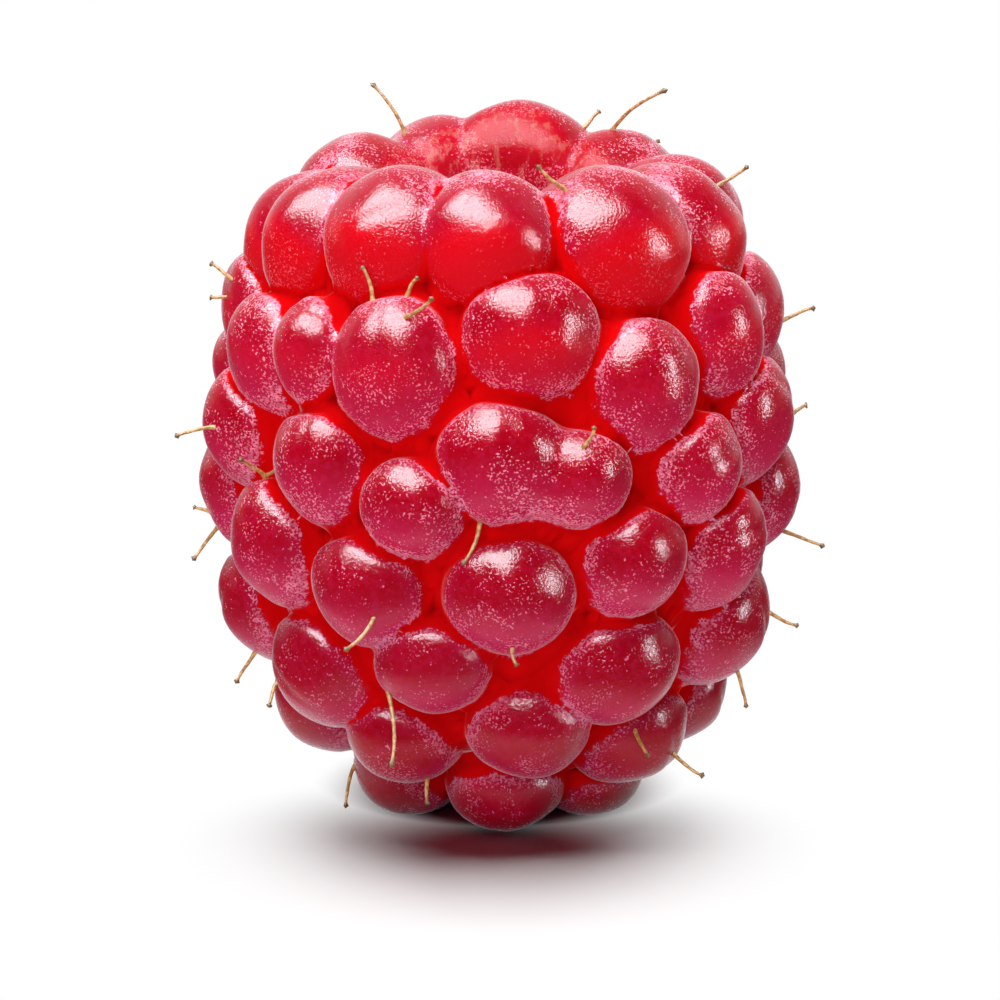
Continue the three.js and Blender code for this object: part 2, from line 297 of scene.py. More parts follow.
def fromOne(i, points, behind):
    # distance from one drupelet, its slope, how far inside its frosted cap's edge, and how far up its cap
    offset = points - centres[i]
    local = offset @ frames[i].T
    once = local / halves[i]
    twice = once / halves[i]
    out, steep = np.linalg.norm(once, axis=1), np.linalg.norm(twice, axis=1)
    distance = out * (out - 1) / steep
    distance -= skin["lump"] * waves(local, skin["lumpSize"], skin["seed"] + i)
    turn, shift, depth, width = foldsOf(i)
    across = local[:, 0] * math.cos(turn) + local[:, 1] * math.sin(turn) - shift
    along = local[:, 1] * math.cos(turn) - local[:, 0] * math.sin(turn)
    distance += depth * np.exp(-((across / width) ** 2) - (along / skin["dentLength"]) ** 2)
    distance[local[:, 2] < behind * ball["reach"]] = 1
    cap = halves[i][:2] - ball["skirt"]
    rise = (offset @ upTheWall[i]) / cap.mean()
    share = np.hypot(local[:, 0] / cap[0], local[:, 1] / cap[1]) * (1 + ball["hang"] * rise)
    inCap = np.where(local[:, 2] > 0, 1 - share, -1.0) * cap.mean()
    return distance, (twice / steep[:, None]) @ frames[i], inCap, rise


def fromFamily(family, points, behind):
    # drupelets grown together run into each other more softly than neighbours do
    found = [fromOne(i, points, behind) for i in family]
    if len(found) == 1:
        return found[0]
    weights = [np.exp(-np.clip(f[0] / skin["grown"], -60, 60)) for f in found]
    total = sum(weights) + 1e-30
    slopes = sum(w[:, None] * f[1] for w, f in zip(weights, found)) / total[:, None]
    inCap = np.log(sum(np.exp(f[2] / skin["grown"]) for f in found)) * skin["grown"]
    rise = sum(w * f[3] for w, f in zip(weights, found)) / total
    return -skin["grown"] * np.log(total), slopes, inCap, rise


def fromDrupelets(points, behind=ball["cutBehind"]):
    # distance from the drupelets' joined surface, its slope, how much farther off the other drupelets are
    # than the nearest family (-2 to 4 mm), that family's number, and how far inside and up its cap this is
    size = len(points)
    nearest = np.full(size, 1.0)
    owner = np.full(size, -1)
    inCap = np.full(size, -1.0)
    rises = np.zeros(size)
    total = np.full(size, 1e-30)
    slopes = np.zeros((size, 3))
    reached = []
    for number, family in enumerate(families):
        away = np.min([((points - centres[i]) ** 2).sum(1) for i in family], axis=0)
        close = np.flatnonzero(away < skin["nearby"] ** 2)
        if not len(close):
            reached.append((close, np.zeros(0)))
            continue
        distance, slope, cap, rise = fromFamily(family, points[close], behind)
        weight = np.exp(-np.clip(distance / skin["crease"], -60, 60))
        total[close] += weight
        slopes[close] += weight[:, None] * slope
        reached.append((close, distance))
        first = distance < nearest[close]
        mine = close[first]
        nearest[mine], owner[mine] = distance[first], number
        inCap[mine], rises[mine] = cap[first], rise[first]
    others = np.full(size, 1e-30)
    for number, (close, distance) in enumerate(reached):
        past = owner[close] != number
        others[close[past]] += np.exp(-np.clip(distance[past] / skin["rounded"], -60, 60))
    gap = np.clip(-skin["rounded"] * np.log(others) - nearest, -2 * mm, 4 * mm)
    joined = -skin["crease"] * np.log(total)
    slopes /= np.maximum(np.linalg.norm(slopes, axis=1), 1e-12)[:, None]
    return joined, slopes, gap, owner, inCap, rises


def spread(values, edges, rounds):
    # each corner takes its neighbours' mean, this many times
    flatValues = values.reshape(len(values), -1)
    count = np.bincount(edges.ravel(), minlength=len(values))[:, None]
    for _ in range(rounds):
        mixed = np.empty_like(flatValues)
        for k in range(flatValues.shape[1]):
            column = flatValues[:, k]
            mixed[:, k] = np.bincount(edges[:, 0], column[edges[:, 1]], len(column))
            mixed[:, k] += np.bincount(edges[:, 1], column[edges[:, 0]], len(column))
        flatValues = mixed / np.maximum(count, 1)
    return flatValues.reshape(values.shape)


def fade(value, start, end):
    share = np.clip((value - start) / (end - start), 0, 1)
    return share * share * (3 - 2 * share)


def remeshedFruit():
    mesh = bpy.data.meshes.new("raspberry_skin")
    mesh.from_pydata(fruitSpots.tolist(), [], fruitTris.tolist())
    piece = bpy.data.objects.new("raspberry_skin", mesh)
    bpy.context.scene.collection.objects.link(piece)
    remesh = piece.modifiers.new("remesh", "REMESH")
    remesh.mode = "VOXEL"
    remesh.voxel_size = skin["voxel"]
    fine = bpy.data.meshes.new_from_object(piece.evaluated_get(bpy.context.evaluated_depsgraph_get()))
    piece.modifiers.clear()
    piece.data = fine
    fine.name = "raspberry_skin"
    return piece


bluntEnds = {
    "leastLean": 0.4,  # a drupelet that points up or down more than this has none
    "wall": 3.6 * mm,  # how far from the middle of the hollow they come through
    "halfWidth": 1.15 * mm,
    "halfHeight": 1.6 * mm,
}


def innerEnds(points, radius):
    # where each drupelet's blunt end comes through into the hollow
    turn = np.arctan2(points[:, 0], -points[:, 1])
    height = np.zeros(len(points))
    for centre, turned in zip(centres, frames):
        axis = turned[2]
        away = math.hypot(centre[0], centre[1])
        lean = (axis[0] * centre[0] + axis[1] * centre[1]) / max(away, 1e-9)
        if lean < bluntEnds["leastLean"]:
            continue
        back = (away - bluntEnds["wall"]) / lean
        up = centre[2] - axis[2] * back
        aside = (turn - math.atan2(centre[0], -centre[1]) + math.pi) % (2 * math.pi) - math.pi
        share = (aside * radius / bluntEnds["halfWidth"]) ** 2
        share += ((points[:, 2] - up) / bluntEnds["halfHeight"]) ** 2
        height = np.maximum(height, np.sqrt(np.clip(1 - share, 0, 1)))
    return height


mouth = {
    "from": 18.6 * mm,  # below this, the hollow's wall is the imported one
    "to": 20.4 * mm,  # above this, the drupelets roll into the hollow
    "heights": [18 * mm, 20.5 * mm, 22.5 * mm, 24 * mm, 26 * mm],
    "radii": [3.9 * mm, 3.45 * mm, 2.9 * mm, 2.9 * mm, 3.6 * mm],  # of the hollow at those heights
    "round": 0.55 * mm,  # how roundly they do
}


def fromMouth(points):
    # distance from the drupelets' surface with the pulled-out core's hollow taken away, and its slope
    joined, slopes = fromDrupelets(points, -1.1)[:2]
    radius = np.maximum(np.linalg.norm(points[:, :2], axis=1), 1e-9)
    core = np.interp(points[:, 2], mouth["heights"], mouth["radii"]) - radius
    most = np.maximum(joined, core)
    a, b = np.exp((joined - most) / mouth["round"]), np.exp((core - most) / mouth["round"])
    inward = np.column_stack([-points[:, 0] / radius, -points[:, 1] / radius, np.zeros(len(points))])
    slopes = (slopes * a[:, None] + inward * b[:, None]) / (a + b)[:, None]
    slopes /= np.maximum(np.linalg.norm(slopes, axis=1), 1e-9)[:, None]
    return most + mouth["round"] * np.log(a + b), slopes


hollowZone = {
    "above": 6.5 * mm,  # it starts over this height
    "wallWithin": 4.7 * mm,  # from the middle
    "bottomWithin": 3.2 * mm,
    "bottomBelow": 13 * mm,
}

shaping = {
    "step": 0.25 * mm,  # the farthest one pass moves a point
    "mouthStep": 0.2 * mm,
    "mouthPasses": 10,
    "evenedAfter": (3, 6),  # the passes round the mouth after which it is evened out
    "mouthFades": (7.2 * mm, 5.6 * mm),
    "endsFade": (1.5 * mm, 3 * mm),
}


def makeSkin():
    piece = remeshedFruit()
    mesh = piece.data
    size = len(mesh.vertices)
    points = np.empty(size * 3, np.float32)
    mesh.vertices.foreach_get("co", points)
    points = points.reshape(-1, 3).astype(float)
    normals = np.empty(size * 3, np.float32)
    mesh.vertex_normals.foreach_get("vector", normals)
    normals = normals.reshape(-1, 3)
    edges = np.empty(len(mesh.edges) * 2, np.int32)
    mesh.edges.foreach_get("vertices", edges)
    edges = edges.reshape(-1, 2)
    sole = points[:, 2] < 0.02 * mm

    radius = np.linalg.norm(points[:, :2], axis=1)
    outward = points[:, :2] / np.maximum(radius, 1e-9)[:, None]
    facing = (normals[:, :2] * outward).sum(1)
    inHollow = points[:, 2] > hollowZone["above"]
    wall = (facing < -0.1) & (radius < hollowZone["wallWithin"]) & inHollow
    bottom = (normals[:, 2] > 0.3) & (radius < hollowZone["bottomWithin"]) & inHollow
    bottom &= points[:, 2] < hollowZone["bottomBelow"]
    hollow = spread((wall | bottom).astype(float), edges, 6)

    joined = fromDrupelets(points)[0]
    follow = 1 - fade(np.abs(joined), skin["near"], skin["far"])
    follow = spread(follow, edges, 2)
    calm = spread(points, edges, 8)
    points = points * follow[:, None] + calm * (1 - follow)[:, None]
    for _ in range(4):
        joined, slopes = fromDrupelets(points)[:2]
        step = np.clip(joined, -shaping["step"], shaping["step"]) * follow
        points -= slopes * step[:, None]
    evened = spread(points, edges, 2)
    points += (evened - points) * follow[:, None] * 0.5
    for _ in range(3):
        joined, slopes = fromDrupelets(points)[:2]
        step = np.clip(joined, -shaping["step"], shaping["step"]) * follow
        points -= slopes * step[:, None]

    high = fade(points[:, 2], mouth["from"], mouth["to"])
    near = high * fade(np.linalg.norm(points[:, :2], axis=1), *shaping["mouthFades"])
    for count in range(shaping["mouthPasses"]):
        distance, slopes = fromMouth(points)
        step = np.clip(distance, -shaping["mouthStep"], shaping["mouthStep"]) * near
        points -= slopes * step[:, None]
        if count in shaping["evenedAfter"]:
            points += (spread(points, edges, 2) - points) * near[:, None] * 0.6
    radius = np.linalg.norm(points[:, :2], axis=1)
    ends = innerEnds(points, radius) * hollow * (1 - follow) * (1 - near)
    ends = ends * fade(radius, *shaping["endsFade"])
    points[:, :2] -= outward * (ends * skin["innerEnd"])[:, None]
    points[:, 2] = np.maximum(points[:, 2], 0)
    points[sole, 2] = 0

    _, slopes, gap, owner, inCap, rises = fromDrupelets(points)
    # round the mouth the caps reach over the rim and into the hollow, close together
    radius = np.linalg.norm(points[:, :2], axis=1)
    over = fade(points[:, 2], 18.8 * mm, 20.6 * mm) * fade(radius, 6.6 * mm, 5.2 * mm)
    inCap = np.clip(inCap + over * 3 * mm, -2 * mm, 2 * mm)
    rises = rises * (1 - over)
    above = fade(points[:, 2], 5 * mm, 15 * mm) * (1 - fade(points[:, 2], 20 * mm, 22.5 * mm))
    above = skin["webLow"] + (skin["webAbove"] - skin["webLow"]) * above
    web = skin["webBelow"] + (above - skin["webBelow"]) * fade(rises, -0.1, 0.8)
    fromRim, fromNext = inCap / skin["rounded"], (gap - web) / skin["rounded"]
    edge = -skin["rounded"] * np.log(np.exp(-fromRim) + np.exp(-fromNext))
    sunk = (1 - fade(edge, -0.45 * mm, 0.30 * mm)) * follow * (1 - near)
    points -= slopes * (sunk * skin["sink"] * fade(points[:, 2], 0, 0.6 * mm))[:, None]
    points[:, 2] = np.maximum(points[:, 2], 0)
    mesh.vertices.foreach_set("co", points.astype(np.float32).ravel())
    shades = np.random.default_rng(skin["seed"]).uniform(0, 1, len(drupelets) + 1)
    inner = hollow * (1 - 0.6 * over)
    layers = {
        "groove": np.clip(gap / mm, -1, 2),  # mm from the crease with the next drupelet
        "cap": np.clip(edge / mm, -2, 3),  # mm inside the frosted cap's edge
        "hollow": inner,
        "tint": shades[owner],
        "rise": np.clip(rises, -1, 1),  # from a cap's lower side to its upper side
        "innerEnd": ends,
    }
    for name, values in layers.items():
        mesh.attributes.new(name, "FLOAT", "POINT").data.foreach_set("value", values.astype(np.float32))
    mesh.shade_smooth()
    mesh.update()
    print("skin:", size, "corners,", sum(len(f.vertices) - 2 for f in mesh.polygons), "triangles")
    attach(piece, "root")
    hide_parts("fruit")
    return piece


raspberrySkin = makeSkin()

# The dry styles: each keeps the line of its packed one, with a finer body

styleSetup = {
    "sides": 10,
    "rings": 26,
    "radius": 0.062 * mm,
    "knob": 0.115 * mm,  # the knob's radius, with 0.06 mm of it the style's own
    "flare": 0.05 * mm,  # how much wider it is at its foot
    "root": 0.16 * mm,  # how far it is sunk in the skin
    "bends": 0.25,  # the share of its length over which it bends to reach that deep
    "wobble": 0.012 * mm,
    "seed": 5,
}


def ringsFrom(start, around):
    seen, rings = {start}, [[start]]
    while True:
        following = {j for i in rings[-1] for j in around[i]} - seen
        if not following:
            return rings
        rings.append(sorted(following))
        seen |= following


def styleLine(name):
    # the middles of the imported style's rings, its foot first and its knobbed end last
    spots, tris = weldedNode(name)
    around = neighboursOf(spots, tris)
    for start in range(len(spots)):
        rings = ringsFrom(start, around)
        if len(rings[-1]) == 1 and len({len(ring) for ring in rings[1:-1]}) == 1:
            break
    line = np.array([spots[ring].mean(0) for ring in rings])
    widths = [np.linalg.norm(spots[ring] - middle, axis=1).mean() for ring, middle in zip(rings, line)]
    return line[::-1] if np.argmax(widths) < len(widths) / 2 else line


def curveThrough(points, count):
    # a smooth line through the points, at even shares of its length
    lengths = np.concatenate([[0], np.cumsum(np.linalg.norm(np.diff(points, axis=0), axis=1))])
    share = lengths / lengths[-1]
    wanted = np.linspace(0, 1, count)
    powers = np.vander(share, 4, increasing=True)
    factors = np.linalg.lstsq(powers, points, rcond=None)[0]
    return np.vander(wanted, 4, increasing=True) @ factors


def makeStyle(name, number):
    random = np.random.default_rng(styleSetup["seed"] + number)
    line = styleLine(name)
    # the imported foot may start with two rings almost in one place
    following = line[2] if np.linalg.norm(line[1] - line[0]) < 0.02 * mm else line[1]
    upwards = (following - line[0]) / np.linalg.norm(following - line[0])
    rooted = line[0] - upwards * styleSetup["root"]
    path = curveThrough(np.vstack([rooted, line[1:]]), styleSetup["rings"])
    share = np.linspace(0, 1, len(path))
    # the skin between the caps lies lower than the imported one, so the foot bends down into it
    spot, outward, _, _ = skinTree.find_nearest(Vector(path[0]))
    depth = (spot - Vector(path[0])).dot(outward)
    bend = np.clip(1 - share / styleSetup["bends"], 0, 1) ** 2
    path -= np.outer(bend, outward) * max(styleSetup["root"] - depth, 0)
    for axis in range(3):
        swing = np.sin(share * random.uniform(5, 9) + random.uniform(0, 6)) * styleSetup["wobble"]
        path[:, axis] += swing * np.sin(share * math.pi) ** 0.7
    radius = styleSetup["radius"] * (1.25 - 0.45 * share + 0.06 * np.sin(share * 23 + number))
    radius += (styleSetup["knob"] - 0.06 * mm) * np.exp(-(((share - 0.955) / 0.035) ** 2))
    radius += styleSetup["flare"] * np.exp(-share / 0.07)
    radius[-1] *= 0.55
    forward = np.gradient(path, axis=0)
    forward /= np.linalg.norm(forward, axis=1)[:, None]
    side = np.cross(forward[0], [0.3, 0.5, 0.8])
    corners, faces = [], []
    sides = styleSetup["sides"]
    lopsided = random.uniform(0.8, 1.2, sides)
    for i, point in enumerate(path):
        side = side - forward[i] * (side @ forward[i])
        side /= np.linalg.norm(side)
        other = np.cross(forward[i], side)
        knobbed = math.exp(-(((share[i] - 0.96) / 0.05) ** 2))
        for k in range(sides):
            turn = 2 * math.pi * k / sides
            reach = radius[i] * (1 + (lopsided[k] - 1) * knobbed * 1.4)
            corners.append(point + (side * math.cos(turn) + other * math.sin(turn)) * reach)
    for i in range(len(path) - 1):
        for k in range(sides):
            a, b = i * sides + k, i * sides + (k + 1) % sides
            faces.append((a, b, b + sides, a + sides))
    last = len(path) - 1
    corners += [path[0], path[-1] + forward[-1] * 0.03 * mm]
    for k in range(sides):
        faces.append((len(corners) - 2, (k + 1) % sides, k))
        faces.append((len(corners) - 1, last * sides + k, last * sides + (k + 1) % sides))
    mesh = bpy.data.meshes.new("dry_" + name)
    mesh.from_pydata([tuple(c) for c in corners], [], faces)
    mesh.shade_smooth()
    along = np.concatenate([np.repeat(share, sides), [0, 1]])
    mesh.attributes.new("along", "FLOAT", "POINT").data.foreach_set("value", along.astype(np.float32))
    piece = bpy.data.objects.new("dry_" + name, mesh)
    bpy.context.scene.collection.objects.link(piece)
    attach(piece, "root")
    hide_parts(name)
    return piece


skinMesh = raspberrySkin.data
skinTree = BVHTree.FromPolygons(
    [v.co for v in skinMesh.vertices],
    [list(p.vertices) for p in skinMesh.polygons],
)
styleNames = sorted(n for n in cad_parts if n.startswith("style"))
dryStyles = [makeStyle(name, i) for i, name in enumerate(styleNames)]
print("styles:", len(dryStyles))

# Materials


def addNode(tree, kind, inputs=None, **settings):
    node = tree.nodes.new("ShaderNode" + kind)
    for name, value in settings.items():
        setattr(node, name, value)
    for name, value in (inputs or {}).items():
        if isinstance(value, bpy.types.NodeSocket):
            tree.links.new(value, node.inputs[name])
        else:
            node.inputs[name].default_value = value
    return node


def attribute(tree, name):
    return addNode(tree, "Attribute", attribute_name=name).outputs["Fac"]


def maths(tree, operation, a, b=0.0, clamp=False):
    return addNode(tree, "Math", {0: a, 1: b}, operation=operation, use_clamp=clamp).outputs[0]


def ramp(tree, value, low, high, start=0.0, end=1.0):
    inputs = {"Value": value, "From Min": low, "From Max": high, "To Min": start, "To Max": end}
    return addNode(tree, "MapRange", inputs, interpolation_type="SMOOTHSTEP").outputs["Result"]


def blend(tree, share, a, b):
    node = addNode(tree, "Mix", data_type="RGBA")
    for socket, value in ((node.inputs[0], share), (node.inputs[6], a), (node.inputs[7], b)):
        if isinstance(value, bpy.types.NodeSocket):
            tree.links.new(value, socket)
        else:
            socket.default_value = value
    return node.outputs[2]


def newGroup(name, inputs, outputs):
    group = bpy.data.node_groups.new(name, "ShaderNodeTree")
    for socket, kind, value in inputs:
        made = group.interface.new_socket(socket, in_out="INPUT", socket_type="NodeSocket" + kind)
        if value is not None:
            made.default_value = value
    for socket, kind in outputs:
        group.interface.new_socket(socket, in_out="OUTPUT", socket_type="NodeSocket" + kind)
    return group, group.nodes.new("NodeGroupInput").outputs, group.nodes.new("NodeGroupOutput").inputs


def addGroup(tree, group, inputs):
    node = tree.nodes.new("ShaderNodeGroup")
    node.node_tree = group
    for name, value in inputs.items():
        if isinstance(value, bpy.types.NodeSocket):
            tree.links.new(value, node.inputs[name])
        else:
            node.inputs[name].default_value = value
    return node.outputs


def millimetres(tree):
    place = addNode(tree, "TexCoord").outputs["Object"]
    return addNode(tree, "VectorMath", {0: place, "Scale": 1000.0}, operation="SCALE").outputs[0]


def makeMottle():
    # soft, uneven patches: how far a place is from the middle tone, -1 to 1
    group, given, made = newGroup(
        "mottle",
        [("Place", "Vector", None), ("Size", "Float", 1.0), ("Detail", "Float", 2.0)],
        [("Unevenness", "Float")],
    )
    scale = maths(group, "DIVIDE", 1.0, given["Size"])
    inputs = {"Vector": given["Place"], "Scale": scale, "Detail": given["Detail"]}
    noise = addNode(group, "TexNoise", inputs)
    group.links.new(ramp(group, noise.outputs["Fac"], 0.3, 0.7, -1.0, 1.0), made["Unevenness"])
    return group


def makeGrains():
    # fine uneven grains of about one size: their spots, and the pebbled height they make together
    group, given, made = newGroup(
        "grains",
        [("Place", "Vector", None), ("Size", "Float", 0.1), ("Share", "Float", 0.3)],
        [("Spots", "Float"), ("Height", "Float")],
    )
    scale = maths(group, "DIVIDE", 1.2, given["Size"])
    inputs = {"Vector": given["Place"], "Scale": scale, "Detail": 1.0}
    noise = addNode(group, "TexNoise", inputs).outputs["Fac"]
    limit = addNode(group, "MapRange", {"Value": given["Share"], "To Min": 0.78, "To Max": 0.40}).outputs[0]
    above = maths(group, "SUBTRACT", noise, limit)
    group.links.new(ramp(group, above, -0.01, 0.05), made["Spots"])
    group.links.new(ramp(group, noise, 0.25, 0.75), made["Height"])
    return group


mottle = makeMottle()
grains = makeGrains()

flesh = {
    "skirt": (0.66, 0.0018, 0.003, 1),  # smooth wet flesh between the caps
    # painted shade: the skirts darken to this colour in the creases between drupelets
    "groove": (0.20, 0.0003, 0.001, 1),
    "cap": (0.37, 0.0003, 0.008, 1),
    "capPale": (0.53, 0.012, 0.070, 1),
    # pale specks: frost, partly painted glints where the light catches the pebbles
    "grain": (0.90, 0.27, 0.37, 1),
    "shadeAtTip": (0.77, 0.80, 0.92, 1),  # painted shade: how much darker the colours are toward the tip, where less of the overhead light falls
    "shadeAtRim": (0.94, 0.95, 1.0, 1),  # and toward the rim
    "shadeUp": (6 * mm, 21 * mm),
    "bareUp": (16.5 * mm, 20 * mm),
    "inside": (0.72, 0.010, 0.022, 1),
    "insideEnd": (0.80, 0.09, 0.075, 1),
    "insidePale": (0.90, 0.34, 0.25, 1),
    "grainSize": 0.1,  # mm
    "coarseSize": 0.2,
    "coarseShare": 0.12,
    # how thick the grains lie: at a cap's edge, in patches, on its upper side, and low on the fruit; partly
    # frost, partly painted glints where the light catches them
    "grainsAt": {"rim": 0.5, "patches": (0.08, 0.50), "top": 0.46, "foot": 0.15},
    # how pale a cap is: in patches, at its edge (frost, partly painted sheen), from one to the next, on its
    # lower side (bloom, partly a painted reflection of the floor), and then again where the grains lie thick
    # (painted glints and sheen up high, a painted floor reflection low down)
    "paleAt": {"patches": 0.2, "rim": 0.4, "tint": 0.1, "lower": 0.3, "top": 0.12, "foot": 0.45},
    "topUp": (11 * mm, 20 * mm),
    "strandSize": 4.2,
    "strandsFrom": (0.50, 0.66, 0.75),  # from nothing to this much of their colour
    "skirtShine": 0.0,
    "capShine": 0.75,
    "hollowShine": 0.15,
    "coatRoughness": 0.15,
    "sheen": 0.6,
    "sheenRoughness": 0.2,
    "sheenTint": (1.0, 0.80, 0.90, 1),
    "scatter": (1.0, 0.16, 0.10),
    "scatterReach": 1.2 * mm,
}


def newMaterial(name):
    material = bpy.data.materials.new(name)
    material.use_nodes = True
    tree = material.node_tree
    shader = tree.nodes.get("Principled BSDF")
    return material, tree, shader


def fleshMaterial():
    material, tree, shader = newMaterial("raspberry flesh")
    place = millimetres(tree)
    broad = addGroup(tree, mottle, {"Place": place, "Size": 1.3, "Detail": 3.0})["Unevenness"]
    small = addGroup(tree, mottle, {"Place": place, "Size": 0.25, "Detail": 2.0})["Unevenness"]
    edge = attribute(tree, "cap")
    edge = maths(tree, "ADD", edge, maths(tree, "MULTIPLY", broad, 0.07))
    edge = maths(tree, "ADD", edge, maths(tree, "MULTIPLY", small, 0.04))
    onCap = ramp(tree, edge, -0.05, 0.06)
    height = addNode(tree, "SeparateXYZ", {0: addNode(tree, "TexCoord").outputs["Object"]}).outputs[2]
    rise = attribute(tree, "rise")
    # near the mouth the lower side of a cap is as bare as the skirt below it
    lowerSide = ramp(tree, rise, -0.1, -0.6, 0.0, 0.8)
    bare = maths(tree, "MULTIPLY", ramp(tree, height, *flesh["bareUp"]), lowerSide)
    frosted = maths(tree, "MULTIPLY", onCap, maths(tree, "SUBTRACT", 1.0, bare))
    rim = maths(tree, "MULTIPLY", frosted, ramp(tree, edge, 0.55, 0.0))
    tint = attribute(tree, "tint")
    # the grain spots are partly frost and partly painted glints: they lie thickest toward a cap's edge and
    # in patches, and on the lit upper sides
    thick, pale = flesh["grainsAt"], flesh["paleAt"]
    inPatches = ramp(tree, broad, -0.6, 1.0, *thick["patches"])
    share = maths(tree, "ADD", maths(tree, "MULTIPLY", rim, thick["rim"]), inPatches)
    low, high = flesh["topUp"]
    # the upper sides of the high caps: thicker grains and paler, partly frost, partly painted glints and
    # sheen where the overhead light falls
    onTop = maths(tree, "MULTIPLY", ramp(tree, rise, -0.1, 0.65), ramp(tree, height, low, high))
    share = maths(tree, "ADD", share, maths(tree, "MULTIPLY", onTop, thick["top"]))
    atFoot = maths(tree, "MULTIPLY", ramp(tree, rise, 0.0, -0.8), ramp(tree, height, high, low))
    share = maths(tree, "ADD", share, maths(tree, "MULTIPLY", atFoot, thick["foot"]))
    fine = addGroup(tree, grains, {"Place": place, "Size": flesh["grainSize"], "Share": share})
    inputs = {"Place": place, "Size": flesh["coarseSize"], "Share": flesh["coarseShare"]}
    coarse = addGroup(tree, grains, inputs)
    paleness = ramp(tree, small, -0.5, 1.0, 0.0, pale["patches"])
    # partly frost, partly painted sheen: the cap pales toward its edge
    paleness = maths(tree, "ADD", paleness, maths(tree, "MULTIPLY", rim, pale["rim"]))
    paleness = maths(tree, "ADD", paleness, maths(tree, "MULTIPLY", tint, pale["tint"]))
    # partly bloom, partly painted reflection: the lower side of each cap is paler, as if mirroring the white
    # floor
    paleness = maths(tree, "ADD", paleness, ramp(tree, rise, 0.0, -0.7, 0.0, pale["lower"]))
    paleness = maths(tree, "ADD", paleness, maths(tree, "MULTIPLY", onTop, pale["top"]))
    # painted reflection, partly bloom: low on the fruit the lower sides of the caps are paler still, as if
    # mirroring the floor
    paleness = maths(tree, "ADD", paleness, maths(tree, "MULTIPLY", atFoot, pale["foot"]), clamp=True)
    capColour = blend(tree, paleness, flesh["cap"], flesh["capPale"])
    # the grains are bolder toward the rim
    bolder = ramp(tree, height, 3 * mm, 18 * mm, 0.6, 1.0)
    strength = maths(tree, "MULTIPLY", ramp(tree, small, -1.0, 1.0, 0.35, 1.0), bolder)
    capColour = blend(tree, maths(tree, "MULTIPLY", fine["Spots"], strength), capColour, flesh["grain"])
    capColour = blend(tree, maths(tree, "MULTIPLY", coarse["Spots"], 0.6), capColour, flesh["grain"])
    # painted shade: the skirt darkens toward the crease with the next drupelet
    groove = ramp(tree, attribute(tree, "groove"), 0.05, -0.25)
    skirt = blend(tree, groove, flesh["skirt"], flesh["groove"])
    colour = blend(tree, frosted, skirt, capColour)
    # painted shade: the colours darken from the rim down toward the tip
    heightShade = blend(tree, ramp(tree, height, *flesh["shadeUp"]), flesh["shadeAtTip"], flesh["shadeAtRim"])
    shadedByHeight = addNode(tree, "Mix", data_type="RGBA", blend_type="MULTIPLY")
    shadedByHeight.inputs[0].default_value = 1
    tree.links.new(colour, shadedByHeight.inputs[6])
    tree.links.new(heightShade, shadedByHeight.inputs[7])
    colour = shadedByHeight.outputs[2]
    # the hollow: red walls with pale strands running up them
    stretched = addNode(tree, "VectorMath", {0: place, 1: (1.0, 1.0, 0.22)}, operation="MULTIPLY").outputs[0]
    inputs = {"Vector": stretched, "Scale": flesh["strandSize"], "Detail": 3.0}
    strands = addNode(tree, "TexNoise", inputs).outputs["Fac"]
    bluntEnd = ramp(tree, attribute(tree, "innerEnd"), 0.1, 0.9)
    inside = blend(tree, maths(tree, "MULTIPLY", bluntEnd, 0.6), flesh["inside"], flesh["insideEnd"])
    valley = ramp(tree, attribute(tree, "groove"), 1.0, 0.0, 0.0, 0.04)
    first, last, most = flesh["strandsFrom"]
    onStrand = ramp(tree, maths(tree, "ADD", strands, valley), first, last, 0.0, most)
    inside = blend(tree, onStrand, inside, flesh["insidePale"])
    hollow = attribute(tree, "hollow")
    colour = blend(tree, ramp(tree, hollow, 0.1, 0.9), colour, inside)
    tree.links.new(colour, shader.inputs["Base Color"])
    roughness = addNode(tree, "MapRange", {"Value": onCap, "To Min": 0.7, "To Max": 0.5}).outputs[0]
    tree.links.new(roughness, shader.inputs["Roughness"])
    # the caps shine, the skirts between them hardly do
    facing = addNode(tree, "LayerWeight", {"Blend": 0.5}).outputs["Facing"]
    shine = ramp(tree, maths(tree, "POWER", facing, 3.0), 0.0, 1.0, flesh["capShine"], 1.0)
    inputs = {"Value": onCap, "To Min": flesh["skirtShine"], "To Max": shine}
    shine = addNode(tree, "MapRange", inputs).outputs[0]
    shine = maths(tree, "MULTIPLY", shine, ramp(tree, hollow, 0.0, 0.5, 1.0, flesh["hollowShine"]))
    tree.links.new(shine, shader.inputs["Coat Weight"])
